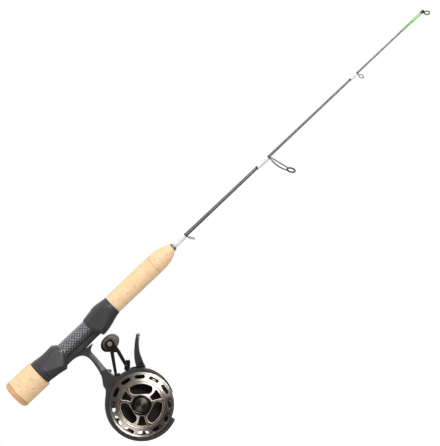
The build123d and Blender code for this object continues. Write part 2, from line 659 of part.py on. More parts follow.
def dog_tabs(r0, r1, half_angle, y0, y1):
    """The two clutch dogs that drive the spool."""
    tab = sector(gear_angle - half_angle, gear_angle + half_angle, r0, r1)
    other = sector(gear_angle + 180 - half_angle, gear_angle + 180 + half_angle, r0, r1)
    return slab(tab, y0, y1) + slab(other, y0, y1)


def build_clutch():
    teeth_y = (14.0, 20.3)
    groove_y = (11.6, 13.0)
    pinion = gear_body(spool_x, spool_z, pinion_teeth, gear_angle + 180 / pinion_teeth, *teeth_y)
    pinion += disc(spool_x, spool_z, spool_back_y + 0.6, teeth_y[0], 5.4)
    pinion += dog_tabs(3.2, 5.2, 20, spool_back_y - 1.2, spool_back_y + 0.7)
    pinion -= disc(spool_x, spool_z, *groove_y, 8.0, 4.2)
    pinion -= disc(spool_x, spool_z, 0, teeth_y[1] + 1, shaft_r + 0.05)
    add("pinion_gear", pinion)
    outline = Pos(spool_x, spool_z) * Circle(7.4)
    arm = Pos(*polar(yoke_angle, 15)) * Rot(Z=yoke_angle) * Rectangle(30, 6)
    mouth = Pos(spool_x, spool_z) * Circle(4.32)
    slot = Pos(*polar(yoke_angle + 180, 6)) * Rot(Z=yoke_angle) * Rectangle(12, 8.64)
    fork = slab(outline + arm - mouth - slot, groove_y[0] + 0.12, groove_y[1] - 0.12)
    handle_clear = disc(handle_x, handle_z, groove_y[0] - 1, groove_y[1] + 1, 7.0)
    post = disc(*polar(yoke_angle, 28.5), groove_y[0] + 0.12, groove_y[1] + 3.5, 2.0)
    add("clutch_yoke", fork - handle_clear + post)


# ---------------------------------------------------------------- reel: spool
def window_faces():
    """The spool face's three wide windows and three narrow ones, centred on the origin."""
    faces = []
    for i in range(3):
        wide = Pos(window_in_r + 7, 0) * Rectangle(14, window_w) & Circle(window_out_r)
        wide = fillet(wide.vertices().sort_by(Axis.X)[:2], 5.0)
        wide = fillet(wide.vertices().sort_by(Axis.X)[-2:], 2.2)
        faces.append(Rot(Z=window_phase + 120 * i) * wide)
        side = [(window_in_r + 0.7, 2.6), (17.5, 3.7), (23.0, 6.7)]
        upper = Spline(*side).edge()
        lower = mirror(upper, about=Plane.XZ)
        narrow = make_face([upper, lower, Line(side[0], (side[0][0], -side[0][1])).edge(),
                            Line(side[2], (side[2][0], -side[2][1])).edge()])
        narrow = narrow & Circle(window_out_r)
        narrow = fillet(narrow.vertices(), 1.0)
        faces.append(Rot(Z=window_phase - 60 + 120 * i) * narrow)
    return faces


def build_spool():
    front, back = spool_front_y, spool_back_y
    web_y = (4.4, back - flange_t)
    profile = [(hub_r, front + 2.0), (hub_r, web_y[0]), (drum_bore_r, web_y[0]),
               (drum_bore_r, front + 0.7),
               (drum_bore_r + 0.6, front), (drum_bore_r + 1.4, front + 0.5),
               (spool_r - 2.0, front + 0.5),
               (spool_r - 1.2, front - 0.2), (spool_r - 0.3, front - 0.2), (spool_r, front + 0.2),
               (spool_r, front + 2.2),
               (spool_r - 1.2, front + 2.2), (drum_r + 0.8, front + 2.2), (drum_r, front + 3.0),
               (drum_r, back - flange_t - 0.8),
               (drum_r + 0.8, back - flange_t), (spool_r - 1.0, back - flange_t),
               (spool_r - 0.4, back - flange_t + 0.5),
               (spool_r - 0.4, back), (3.0, back), (3.0, web_y[1] - 0.1),
               (bearing_r, web_y[1] - 0.1), (bearing_r, 2.0),
               (3.6, 2.0), (3.6, front + 6.6), (bearing_r, front + 6.6), (bearing_r, front + 2.0)]
    spool = turned_y(profile)
    front_slot = Pos(slot_ring_r, 0) * SlotOverall(11.5, 4.1, rotation=90)
    back_slot = Pos(slot_ring_r, 0) * SlotOverall(13.0, 5.0, rotation=90)
    for i in range(slot_count):
        turn = slot_phase + 360 / slot_count * i
        centre = Pos(spool_x, spool_z)
        spool -= slab(centre * Rot(Z=turn) * front_slot, front - 1, front + 2.3)
        spool -= slab(centre * Rot(Z=turn + 180 / slot_count) * back_slot, back - flange_t, back)
    spool -= dog_tabs(2.9, 5.45, 26, back - flange_t + 0.05, back + 0.1)
    add("spool", spool)

    plate = slab(Pos(spool_x, spool_z) * Circle(drum_bore_r), front + 0.7, front + 2.4)
    plate = plate - disc(spool_x, spool_z, front, front + 3, hub_r)
    for face in window_faces():
        plate -= slab(Pos(spool_x, spool_z) * face, front, front + 3)
    rims = plate.faces().sort_by(Axis.Y)[0].inner_wires()
    plate = chamfer([e for w in rims for e in w.edges()], 0.35)
    add("spool_face", plate)
    hub = turned_y([(8.3, front + 2.0), (8.3, front - 1.4), (8.8, front - 1.9),
                    (hub_ring_r - 0.7, front - 1.9),
                    (hub_ring_r, front - 1.2), (hub_ring_r, front + 0.7), (hub_r, front + 0.7),
                    (hub_r, front + 2.0)])
    add("hub_ring", hub)
    add("spool_bearings", disc(spool_x, spool_z, front + 2.6, front + 6.6, bearing_r, shaft_r + 0.05),
        disc(spool_x, spool_z, 2.0, web_y[1] - 0.1, bearing_r, shaft_r + 0.05))
    shaft = disc(spool_x, spool_z, front - 0.4, cover_y - 0.6, shaft_r)
    add("spool_shaft", shaft)
    cap = [(0, front - 2.5), (3.0, front - 2.4), (6.8, front - 2.0), (7.6, front - 1.6),
           (8.05, front - 1.0), (8.05, front + 0.8),
           (4.4, front + 0.8), (4.4, front + 2.2), (shaft_r + 0.06, front + 2.2),
           (shaft_r + 0.06, front - 0.5), (0, front - 0.5)]
    add("spool_cap", turned_y(cap))


# ---------------------------------------------------------------- reel: handle
def knob_body(x, z, y0):
    """A flat paddle knob on a round neck, bored for its spindle."""
    sections = [(0.0, 3.6, 3.6), (1.6, 4.2, 4.0), (5.0, 4.4, 3.2), (10.0, knob_r, 2.9),
                (15.0, knob_r + 0.2, 2.75), (knob_len, 5.2, 2.2)]
    lift = []
    for y, a, b in sections:
        lift.append(Plane.XZ.offset(-y0 - y) * Pos(x, z) * Rot(Z=knob_turn) * Ellipse(a, b))
    knob = loft(lift)
    return knob - disc(x, z, y0 - 1, y0 + knob_len - 2.0, 1.86)


def build_handle():
    hx, hz = handle_x, handle_z
    shaft_r = handle_shaft_r
    gear_y = (15.0, 20.0)
    shaft = disc(hx, hz, plate_y[0] + 0.7, 46.0, shaft_r) + disc(hx, hz, plate_y[1] + 3.2, 14.3, 8.0)
    add("handle_shaft", shaft)
    add("shaft_bearing", disc(hx, hz, plate_y[0] + 0.6, plate_y[1] + 2.99, 5.0, shaft_r + 0.05))
    gear = gear_body(hx, hz, drive_teeth, gear_angle + 180, *gear_y)
    gear -= disc(hx, hz, *gear_y, shaft_r)
    for i in range(5):
        gear -= disc(*polar(72 * i, 11.2, hx, hz), gear_y[0], gear_y[1], 2.4)
    add("drive_gear", gear)
    washers = [disc(hx, hz, 14.3, 15.0, 7.6, shaft_r), disc(hx, hz, 20.0, 20.7, 8.4, shaft_r)]
    washers.append(disc(hx, hz, 20.7, 22.0, 8.2, shaft_r))
    add("drag_washers", *washers)
    add("roller_clutch", disc(hx, hz, cover_y - 1.4, cover_y + 5.2, 7.0, shaft_r + 0.05))
    star_y = (33.2, 36.6)
    star = Pos(hx, hz) * Circle(8.4)
    for i in range(5):
        star += Pos(hx, hz) * Rot(Z=72 * i + 20) * Pos(11.0, 0) * SlotOverall(11.5, 5.4)
    star = slab(star, *star_y) + disc(hx, hz, star_y[0] - 1.2, star_y[0] + 0.1, 6.0)
    star = chamfer(star.faces().sort_by(Axis.Y)[-1].edges(), 0.6)
    add("drag_star", star - disc(hx, hz, 30, 40, shaft_r + 0.06))

    ends = [polar(gear_angle + 180 * i, handle_reach, hx, hz) for i in range(2)]
    plate = Pos(hx, hz) * Circle(7.0)
    for x, z in ends:
        plate += Pos(x, z) * Circle(4.4)
    beam = Pos(hx, hz) * Rot(Z=gear_angle) * (Rectangle(2 * handle_reach, 6.4))
    arm = slab(plate + beam, *handle_arm_y)
    arm = chamfer(arm.faces().sort_by(Axis.Y)[-1].edges(), 0.5)
    arm -= disc(hx, hz, 30, 50, shaft_r)
    spindles = []
    for i, (x, z) in enumerate(ends):
        arm -= disc(x, z, 30, 50, 1.8)
        foot = handle_arm_y[0]
        top = handle_arm_y[1]
        spindle = disc(x, z, foot, top + knob_len - 2.4, 1.8)
        spindles.append(spindle)
        add("handle_knob_" + "ab"[i], knob_body(x, z, top + 0.4))
    add("handle_arm", arm)
    add("knob_spindles", *spindles)
    nut = extrude(Plane.XZ.offset(-handle_arm_y[1] - 4) * Pos(hx, hz) * RegularPolygon(5.4, 6),
                  amount=4)
    nut = chamfer(nut.faces().sort_by(Axis.Y)[-1].edges(), 0.6)
    add("handle_nut", nut - disc(hx, hz, 40, 50, shaft_r))


def main():
    build_grip()
    build_hoods()
    build_barrel()
    build_foregrip()
    build_guides()
    build_blank()
    build_frame()
    build_cover()
    build_line_guide()
    build_trigger()
    build_clutch()
    build_spool()
    build_handle()
    os.makedirs("parts", exist_ok=True)
    for name, shape in nodes.items():
        export_step(shape, f"parts/{name}.step")


main()
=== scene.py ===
"""Looks for the ice fishing rod and its inline reel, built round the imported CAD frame."""
import json
import math

import bmesh
import bpy
import numpy as np
from mathutils import Matrix, Vector

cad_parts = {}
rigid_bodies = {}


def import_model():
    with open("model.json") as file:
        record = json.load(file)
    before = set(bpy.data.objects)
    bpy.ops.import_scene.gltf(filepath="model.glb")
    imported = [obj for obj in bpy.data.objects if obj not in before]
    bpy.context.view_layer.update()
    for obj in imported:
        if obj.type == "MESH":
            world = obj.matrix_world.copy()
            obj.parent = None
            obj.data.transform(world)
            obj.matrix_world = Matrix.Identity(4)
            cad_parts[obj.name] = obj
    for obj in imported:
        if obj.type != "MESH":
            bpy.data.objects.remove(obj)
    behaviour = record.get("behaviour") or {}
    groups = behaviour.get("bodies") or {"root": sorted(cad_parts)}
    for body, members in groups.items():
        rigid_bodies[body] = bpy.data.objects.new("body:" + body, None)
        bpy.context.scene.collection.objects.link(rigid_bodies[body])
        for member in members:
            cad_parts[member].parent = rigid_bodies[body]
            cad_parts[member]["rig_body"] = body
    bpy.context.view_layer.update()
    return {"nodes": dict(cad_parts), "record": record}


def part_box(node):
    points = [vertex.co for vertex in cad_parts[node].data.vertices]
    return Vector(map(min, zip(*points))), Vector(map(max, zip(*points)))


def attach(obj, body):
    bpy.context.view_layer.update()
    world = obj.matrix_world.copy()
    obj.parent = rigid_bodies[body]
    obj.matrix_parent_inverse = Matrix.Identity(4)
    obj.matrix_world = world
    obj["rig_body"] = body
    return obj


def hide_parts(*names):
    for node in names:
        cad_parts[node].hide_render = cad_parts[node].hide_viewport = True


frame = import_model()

MM = 0.001

# The object in millimetres, in the row frame. Axes along Y are given as (x, z).
SPOOL = (75.8, -99.8)
HANDLE = (72.226, -79.106)
ROLLER = (95.7, -29.0)
BUTT_ROUND = 4.6
CORK_BORE = 8.2
NOSE_BORE = 3.3
NOSE_TIP = 4.3
NOSE_CURVE = 2.6
NOSE_STEPS = 24
GRIP_BREAK = 0.6
FORE_BREAK = 0.5
RING_START = -13.5              # a joint between two cork rings, and the length of each ring
RING_LEN = 12.7
BARREL_R = 8.6
DRUM_BORE = 24.7
FACE_BACK = -11.4
FACE_EDGE = -11.0
TRIGGER_HEEL = (104.0, -70.0)
TRIGGER_LEAN = (0.609, 0.793)   # the direction of the trigger's finger side, as (x, z)
LEG_REACH = 0.75                # a vertex this near to a leg's middle line is part of its wire
LEG_CUTS = 14
# Each leg of the large guide: its foot on the blank, its seat on the ring, how far it bows, and the share by
# which it swells.
GUIDE_LEGS = [((358.2, -0.5, -2.6), (362.83, -1.93, -24.39), 2.0, 0.5),
              ((359.4, 0.5, -2.6), (365.39, 2.38, -23.21), 0.0, 0.3)]

# Fine detail of the materials, in metres.
TOOL_DEPTH = 0.00003
THREAD_PITCH = 0.00022
TAPE_PITCH = 0.0021
WEAVE_CELL = 0.0040
TICK_PITCH = 0.0021
TICK_START = 0.0165
TICK_EDGE = -0.0012

# The CAD's mesh: what is sharp enough to be rounded, what is flat enough to be merged, and the gap to weld.
EDGE_ANGLE = math.radians(28.0)
FLAT_ANGLE = math.radians(0.4)
WELD = 2e-6

slot_of = {part["node"]: part["material_slot"] for part in frame["record"]["subparts"]}


# ---------------------------------------------------------------- shader helpers
class Look:
    """A Principled material and the nodes that feed it. Object coordinates are the row frame in metres.

    A value for a socket is a number, a colour or another node's output.
    """

    def __init__(self, name, **values):
        self.material = bpy.data.materials.new(name)
        self.material.use_nodes = True
        self.tree = self.material.node_tree
        self.tree.nodes.clear()
        output = self.tree.nodes.new("ShaderNodeOutputMaterial")
        self.shader = self.tree.nodes.new("ShaderNodeBsdfPrincipled")
        self.tree.links.new(self.shader.outputs[0], output.inputs[0])
        self.coords = self.tree.nodes.new("ShaderNodeTexCoord").outputs["Object"]
        for key, value in values.items():
            self.put(self.shader.inputs[key.replace("_", " ")], value)

    def put(self, socket, value):
        if isinstance(value, bpy.types.NodeSocket):
            self.tree.links.new(value, socket)
        elif isinstance(value, tuple) and socket.type == "RGBA":
            socket.default_value = (*value, 1.0)
        else:
            socket.default_value = value

    def node(self, kind, settings=None, out=0, **inputs):
        """One output of a new node. An input is named, or i with its number where names repeat."""
        made = self.tree.nodes.new("ShaderNode" + kind)
        for key, value in (settings or {}).items():
            setattr(made, key, value)
        for key, value in inputs.items():
            socket = int(key[1:]) if key[1:].isdigit() else key.replace("_", " ")
            self.put(made.inputs[socket], value)
        return made.outputs[out]

    def math(self, operation, a, b=0.0, c=0.0):
        return self.node("Math", {"operation": operation}, i0=a, i1=b, i2=c)

    def plus(self, a, b):
        return self.math("ADD", a, b)

    def minus(self, a, b):
        return self.math("SUBTRACT", a, b)

    def times(self, a, b):
        return self.math("MULTIPLY", a, b)

    def over(self, a, b):
        return self.math("DIVIDE", a, b)

    def noise(self, scale, detail=3.0, roughness=0.55, vector=None):
        return self.node("TexNoise", Vector=vector or self.coords, Scale=scale, Detail=detail,
                         Roughness=roughness)

    def stretch(self, x, y, z):
        return self.node("VectorMath", {"operation": "MULTIPLY"}, i0=self.coords, i1=(x, y, z))

    def axes(self):
        split = self.tree.nodes.new("ShaderNodeSeparateXYZ")
        self.put(split.inputs[0], self.coords)
        return split.outputs[0], split.outputs[1], split.outputs[2]

    def helix(self, pitch):
        """A sine wave that winds round the rod's axis with this pitch."""
        x, y, z = self.axes()
        turn = self.over(self.math("ARCTAN2", y, z), 2 * math.pi)
        along = self.plus(self.over(x, pitch), turn)
        return self.math("SINE", self.times(along, 2 * math.pi))

    def spread(self, value, low, high, new_low=0.0, new_high=1.0):
        """The value's run from low to high, stretched to run from new_low to new_high and clamped there."""
        return self.node("MapRange", i0=value, i1=low, i2=high, i3=new_low, i4=new_high)

    def ramp(self, value, stops):
        made = self.tree.nodes.new("ShaderNodeValToRGB")
        self.put(made.inputs[0], value)
        ends = made.color_ramp.elements
        while len(ends) < len(stops):
            ends.new(0.5)
        for end, (position, colour) in zip(ends, stops):
            end.position = position
            end.color = (*colour, 1.0)
        return made.outputs[0]

    def mix(self, factor, a, b):
        return self.node("Mix", {"data_type": "RGBA"}, out=2, i0=factor, i6=a, i7=b)

    def base(self, value):
        self.put(self.shader.inputs["Base Color"], value)

    def rough(self, value):
        self.put(self.shader.inputs["Roughness"], value)

    def bump(self, height, distance, strength=1.0):
        made = self.tree.nodes.new("ShaderNodeBump")
        made.inputs["Strength"].default_value = strength
        made.inputs["Distance"].default_value = distance
        self.put(made.inputs["Height"], height)
        self.put(self.shader.inputs["Normal"], made.outputs[0])


def shade(colour, factor):
    """The colour made darker or lighter by a factor."""
    return tuple(factor * channel for channel in colour)


def cork(name, light, dark, speck):
    """Cork rings glued end to end: mottled grain, brown lenticels and a thin line at each joint."""
    look = Look(name, Specular_IOR_Level=0.28)
    mottle = look.noise(230, 5, 0.62)
    tone = look.ramp(look.spread(mottle, 0.32, 0.68), [(0.0, dark), (1.0, light)])
    grain = look.noise(1500, 4, 0.7)
    tone = look.mix(look.spread(grain, 0.30, 0.48, 0.32, 0.0), tone, shade(dark, 0.72))
    streak = look.noise(620, 2, 0.5, look.stretch(0.55, 1.3, 1.3))
    streaks = look.spread(streak, 0.665, 0.72)
    patch = look.spread(look.noise(140, 2, 0.5), 0.46, 0.62)
    hollow = look.spread(look.node("Attribute", {"attribute_name": "pit"}, out=2), 0.02, 0.16)
    faint = look.times(look.times(streaks, patch), 0.4)
    marks = look.math("MAXIMUM", faint, hollow)
    tone = look.mix(marks, tone, speck)
    x, _, _ = look.axes()
    rings = look.over(look.minus(x, RING_START * MM), RING_LEN * MM)
    own_tone = look.node("TexWhiteNoise", {"noise_dimensions": "1D"}, W=look.math("FLOOR", rings))
    tone = look.mix(look.spread(own_tone, 0.0, 1.0, 0.0, 0.22), tone, dark)
    from_middle = look.math("ABSOLUTE", look.minus(look.math("FRACT", rings), 0.5))
    seam = look.spread(from_middle, 0.487, 0.497)
    tone = look.mix(look.times(seam, 0.35), tone, shade(dark, 0.55))
    look.base(tone)
    look.rough(look.spread(grain, 0.3, 0.7, 0.86, 0.66))
    height = look.minus(grain, look.times(marks, 1.3))
    look.bump(look.minus(height, look.times(seam, 0.5)), 0.0003, 0.6)
    return look.material


def coated(name, colour, rough, grain=2600.0, depth=0.00004, metallic=0.0, specular=0.5, cloudy=0.16):
    """Paint, anodising or moulded plastic: faint cloudiness, a fine grain and slightly uneven gloss."""
    look = Look(name, Metallic=metallic, Specular_IOR_Level=specular)
    cloud = look.noise(90, 4, 0.6)
    look.base(look.ramp(look.spread(cloud, 0.3, 0.7), [(0.0, shade(colour, 1 - cloudy)),
                                                       (1.0, shade(colour, 1 + cloudy))]))
    fine = look.noise(grain, 2, 0.5)
    uneven = look.spread(cloud, 0.3, 0.7, rough - 0.3 * cloudy, rough + 0.3 * cloudy)
    look.rough(look.plus(uneven, look.spread(fine, 0.3, 0.7, -0.03, 0.03)))
    look.bump(fine, depth, 0.5)
    return look.material


def turned(name, colour, rough, pitch, centre, anisotropic=0.0, dish=0.0):
    """Lathe-turned metal: tool marks round the axis along Y through centre. dish is the slope of a domed face."""
    look = Look(name, Metallic=1.0, Anisotropic=anisotropic, Anisotropic_Rotation=0.25)
    x, y, z = look.axes()
    across = look.minus(x, centre[0] * MM)
    up = look.minus(z, centre[1] * MM)
    squares = look.plus(look.times(across, across), look.times(up, up))
    radius = look.math("SQRT", squares)
    marks = look.noise(1.0 / pitch, 2, 0.6, look.node("CombineXYZ", i0=radius, i1=y, i2=0.0))
    cloud = look.noise(70, 3, 0.5)
    tone = look.mix(look.spread(marks, 0.3, 0.7), shade(colour, 0.82), shade(colour, 1.12))
    look.base(look.mix(look.spread(cloud, 0.3, 0.7, 0.0, 0.25), tone, shade(colour, 0.7)))
    look.rough(look.spread(marks, 0.3, 0.7, rough - 0.05, rough + 0.06))
    relief = look.times(marks, 0.35)
    if dish:
        relief = look.minus(relief, look.times(radius, dish / TOOL_DEPTH))
    look.bump(relief, TOOL_DEPTH)
    if anisotropic:
        tangent = look.node("Tangent", {"direction_type": "RADIAL", "axis": "Y"})
        look.put(look.shader.inputs["Tangent"], tangent)
    return look.material


def carbon(name, dark, light, fleck_blue):
    """Woven carbon under clear coat, wrapped about the rod's axis: diagonal tows that pass over and under."""
    look = Look(name, Coat_Weight=0.5, Coat_Roughness=0.06, Metallic=0.75)
    x, y, z = look.axes()
    girth = look.times(look.math("ARCTAN2", y, z), BARREL_R * MM)
    first = look.over(look.plus(x, girth), WEAVE_CELL)
    second = look.over(look.minus(x, girth), WEAVE_CELL)
    cells = look.plus(look.math("FLOOR", first), look.math("FLOOR", second))
    parity = look.math("MODULO", look.math("ABSOLUTE", cells), 2.0)

    def on_top(one, other):
        """The first tow's value in the cells where it lies on top, and the second's in the others."""
        return look.plus(look.times(one, parity), look.times(other, look.minus(1.0, parity)))

    def crown(tow):
        """A tow's round back: 1 along its middle, 0 at its edges."""
        inside = look.minus(look.math("FRACT", tow), 0.5)
        return look.minus(1.0, look.times(look.times(inside, inside), 4.0))

    def fibres(tow, other):
        """Fine lines that run along a tow."""
        line = look.node("CombineXYZ", i0=look.times(tow, 26.0), i1=0.0, i2=look.times(other, 1.2))
        return look.noise(1.0, 2, 0.7, line)

    height = on_top(crown(first), crown(second))
    fibre = on_top(fibres(first, second), fibres(second, first))
    # Painted sheen: the base colour runs from dark to light towards each tow's crown, a painted highlight
    # standing in for the weave's glint.
    crown_painted_gleam = look.math("POWER", look.math("MAXIMUM", height, 0.0), 2.6)
    painted_sheen = look.times(crown_painted_gleam, look.spread(fibre, 0.3, 0.7, 0.55, 1.15))
    fleck = look.spread(look.noise(420, 2, 0.5), 0.58, 0.63, 0.0, 0.85)
    look.base(look.mix(look.times(fleck, parity), look.mix(painted_sheen, dark, light), fleck_blue))
    look.rough(look.spread(fibre, 0.3, 0.7, 0.28, 0.42))
    look.bump(look.plus(height, look.times(fibre, 0.25)), 0.00012, 0.5)
    return look.material


def wound(name, colour, groove):
    """Thread wound round the blank, under a clear epoxy coat, with painted shade in the grooves between its
    turns.
    """
    look = Look(name, Coat_Weight=0.3, Coat_Roughness=0.2, Specular_IOR_Level=0.3)
    wave = look.helix(THREAD_PITCH)
    fuzz = look.noise(3200, 2, 0.6)
    # Painted shade: the troughs between the turns take the darker groove colour.
    tone = look.mix(look.spread(wave, -1.0, 0.6, 1.0, 0.0), colour, groove)
    look.base(look.mix(look.spread(fuzz, 0.35, 0.65, 0.0, 0.25), tone, groove))
    look.rough(0.45)
    look.bump(wave, 0.000003, 0.5)
    return look.material


def graphite(name, dark, light, tape):
    """A satin graphite blank: lengthwise fibres and faint spiral tape marks."""
    look = Look(name, Metallic=0.7)
    wave = look.helix(TAPE_PITCH)
    fibre = look.noise(700, 3, 0.6, look.stretch(0.06, 1.0, 1.0))
    tone = look.mix(look.spread(fibre, 0.35, 0.65), dark, light)
    look.base(look.mix(look.spread(wave, 0.2, 1.0, 0.0, 0.4), tone, tape))
    look.rough(look.spread(fibre, 0.3, 0.7, 0.38, 0.46))
    look.bump(wave, 0.000003, 0.4)
    return look.material


def enamel(name, colour, deep):
    """Glossy enamel with faint runs and a slightly deeper tone where it is thick."""
    look = Look(name, Coat_Weight=0.8, Coat_Roughness=0.05)
    flow = look.noise(260, 3, 0.5, look.stretch(0.4, 1.0, 1.0))
    look.base(look.mix(look.spread(flow, 0.35, 0.65), deep, colour))
    look.rough(look.spread(flow, 0.3, 0.7, 0.22, 0.34))
    look.bump(flow, 0.0001, 0.3)
    return look.material


def rubber(name, colour):
    """Soft-touch rubber with a fine moulded pebble."""
    look = Look(name, Specular_IOR_Level=0.35, Sheen_Weight=0.2)
    pebble = look.node("TexVoronoi", {"feature": "DISTANCE_TO_EDGE"}, Vector=look.coords, Scale=1300.0)
    cloud = look.noise(160, 3, 0.5)
    look.base(look.mix(look.spread(cloud, 0.3, 0.7), shade(colour, 0.8), shade(colour, 1.3)))
    look.rough(look.spread(cloud, 0.3, 0.7, 0.55, 0.68))
    look.bump(look.spread(pebble, 0.0, 0.25), 0.00008, 0.6)
    return look.material


def ticked(name, colour, tick):
    """The trigger's coating, with a lighter colour on the small ridges along the finger side of its tip."""
    look = Look(name, Specular_IOR_Level=0.45)
    x, _, z = look.axes()
    x = look.minus(x, TRIGGER_HEEL[0] * MM)
    z = look.minus(z, TRIGGER_HEEL[1] * MM)
    lean_x, lean_z = TRIGGER_LEAN
    along = look.plus(look.times(x, lean_x), look.times(z, lean_z))
    aside = look.minus(look.times(x, lean_z), look.times(z, lean_x))
    wave = look.math("SINE", look.times(along, 2 * math.pi / TICK_PITCH))
    near_tip = look.spread(along, TICK_START, TICK_START + 0.0020)
    finger_side = look.spread(aside, TICK_EDGE, TICK_EDGE + 0.0006)
    ridge = look.times(look.times(look.spread(wave, 0.0, 0.7), near_tip), finger_side)
    cloud = look.noise(90, 4, 0.6)
    tone = look.mix(look.spread(cloud, 0.3, 0.7), shade(colour, 0.8), colour)
    look.base(look.mix(look.times(ridge, 0.8), tone, tick))
    look.rough(look.spread(cloud, 0.3, 0.7, 0.28, 0.38))
    look.bump(ridge, 0.0002, 0.5)
    return look.material


GOLD = (0.90, 0.74, 0.53)
looks = {
    "cork": cork("cork", (0.86, 0.615, 0.39), (0.80, 0.535, 0.295), (0.42, 0.235, 0.10)),
    "dark_cork": cork("dark_cork", (0.72, 0.43, 0.225), (0.63, 0.34, 0.155), (0.30, 0.16, 0.07)),
    "hood_coat": coated("hood_coat", (0.046, 0.043, 0.046), 0.33, depth=0.00001, specular=0.45,
                        cloudy=0.05),
    # The carbon's light colour is the painted sheen on the tow crowns.
    "carbon_weave": carbon("carbon_weave", (0.004, 0.004, 0.005), (0.62, 0.62, 0.62), (0.10, 0.14, 0.55)),
    "blank_graphite": graphite("blank_graphite", (0.155, 0.155, 0.158), (0.19, 0.19, 0.193),
                               (0.205, 0.205, 0.208)),
    "thread_silver": wound("thread_silver", (0.76, 0.76, 0.75), (0.68, 0.68, 0.665)),
    "thread_black": wound("thread_black", (0.030, 0.030, 0.032), (0.008, 0.008, 0.008)),
    "guide_wire": coated("guide_wire", (0.042, 0.025, 0.013), 0.42, depth=0.000002, metallic=0.1),
    "guide_wire_light": coated("guide_wire_light", (0.21, 0.21, 0.215), 0.40, depth=0.000002, metallic=0.3),
    "guide_ring": coated("guide_ring", (0.060, 0.040, 0.027), 0.30, depth=0.000002, metallic=0.2),
    "tip_green": enamel("tip_green", (0.33, 0.61, 0.22), (0.22, 0.46, 0.13)),
    "black_metal": coated("black_metal", (0.012, 0.012, 0.013), 0.28),
    "frame_coat": coated("frame_coat", (0.029, 0.026, 0.024), 0.40, depth=0.00001, specular=0.3),
    "gunmetal": turned("gunmetal", (0.60, 0.53, 0.47), 0.44, 0.00030, SPOOL, anisotropic=0.94, dish=0.28),
    "arm_coat": coated("arm_coat", (0.007, 0.005, 0.004), 0.30, specular=0.35),
    "roller_metal": turned("roller_metal", (0.18, 0.148, 0.125), 0.48, 0.00025, ROLLER),
    "steel": coated("steel", (0.42, 0.41, 0.39), 0.28, metallic=0.6),
    "cap_metal": turned("cap_metal", (0.085, 0.073, 0.056), 0.46, 0.00022, SPOOL, anisotropic=0.75),
    "knob_rubber": rubber("knob_rubber", (0.018, 0.018, 0.019)),
    "brass": turned("brass", (0.78, 0.56, 0.26), 0.26, 0.0003, HANDLE),
    "drag_fibre": coated("drag_fibre", (0.05, 0.05, 0.05), 0.6, 900.0),
    "pale_plastic": coated("pale_plastic", (0.78, 0.78, 0.75), 0.4),
    "arbor_foam": coated("arbor_foam", (0.75, 0.68, 0.50), 0.8, 1200.0, 0.0002),
}
sleeve_green = enamel("sleeve_green", (0.20, 0.52, 0.10), (0.14, 0.42, 0.06))
lip = coated("machined_lip", GOLD, 0.42, metallic=0.35)
# Painted shade: near-black for the drum's inside seen through the windows, standing in for the shade there.
drum_painted_shade = coated("spool_inside_painted_shade", (0.012, 0.011, 0.010), 0.5, specular=0.25)
check_metal = coated("check_metal", (0.23, 0.215, 0.19), 0.3, metallic=0.4)
hub_black = coated("hub_black", (0.004, 0.004, 0.004), 0.12, specular=0.6)
for node, cad in frame["nodes"].items():
    cad.data.materials.clear()
    cad.data.materials.append(sleeve_green if node == "tip_sleeve" else looks[slot_of[node]])


# ---------------------------------------------------------------- pieces
def place(name, mesh, node, materials):
    """A piece that stands for a CAD node: it rides on that node's body, wears the materials it is given, and the
    node is hidden.
    """
    for material in materials:
        mesh.materials.append(material)
    piece = bpy.data.objects.new(name, mesh)
    bpy.context.scene.collection.objects.link(piece)
    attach(piece, frame["nodes"][node]["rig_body"])
    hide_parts(node)
    return piece


def crisp(node, width, edge=None, paint=None, look=None):
    """The CAD node with its edges broken: a small round on each, and level shading on the flats between.

    edge is a material for the rounds, and look one for the whole piece in place of its slot's. paint is a
    material and a test of a face's centre and normal, for the faces that have it.
    """
    work = bmesh.new()
    work.from_mesh(frame["nodes"][node].data)
    bmesh.ops.remove_doubles(work, verts=work.verts, dist=WELD)
    bmesh.ops.dissolve_limit(work, angle_limit=FLAT_ANGLE, verts=work.verts, edges=work.edges)
    rough = bpy.data.meshes.new(node + "_rough")
    work.to_mesh(rough)
    work.free()
    if "custom_normal" in rough.attributes:
        rough.attributes.remove(rough.attributes["custom_normal"])
    rough.shade_smooth()
    holder = bpy.data.objects.new(node + "_rough", rough)
    bpy.context.scene.collection.objects.link(holder)
    rounder = holder.modifiers.new("round", "BEVEL")
    rounder.width = width * MM
    rounder.segments = 2
    rounder.limit_method = "ANGLE"
    rounder.angle_limit = EDGE_ANGLE
    rounder.material = 1 if edge else -1
    rough.materials.append(looks[slot_of[node]])
    if edge:
        rough.materials.append(edge)
    level = holder.modifiers.new("level", "WEIGHTED_NORMAL")
    level.keep_sharp = True
    graph = bpy.context.evaluated_depsgraph_get()
    mesh = bpy.data.meshes.new_from_object(holder.evaluated_get(graph), preserve_all_data_layers=True,
                                           depsgraph=graph)
    bpy.data.objects.remove(holder)
    mesh.name = node + "_skin"
    mesh.materials.clear()
    finishes = [look or looks[slot_of[node]]] + ([edge] if edge else [])
    if paint:
        finish, chosen = paint
        finishes.append(finish)
        for face in mesh.polygons:
            if chosen(face.center, face.normal):
                face.material_index = len(finishes) - 1
    return place(node + "_skin", mesh, node, finishes)


def from_axis(point, x, z):
    """How far a point is from the axis along Y through (x, z), in millimetres."""
    return math.hypot(point.x / MM - x, point.z / MM - z)


def inside_drum(centre, normal):
    """The drum's bore and the web behind the face, which the face's windows show; these faces take painted shade.
    """
    return from_axis(centre, *SPOOL) < DRUM_BORE + 0.1 and centre.y > FACE_BACK * MM


def window_edge(centre, normal):
    """The front part of the walls of the face's windows and of its outer edge."""
    return abs(normal.y) < 0.97 and centre.y < FACE_EDGE * MM


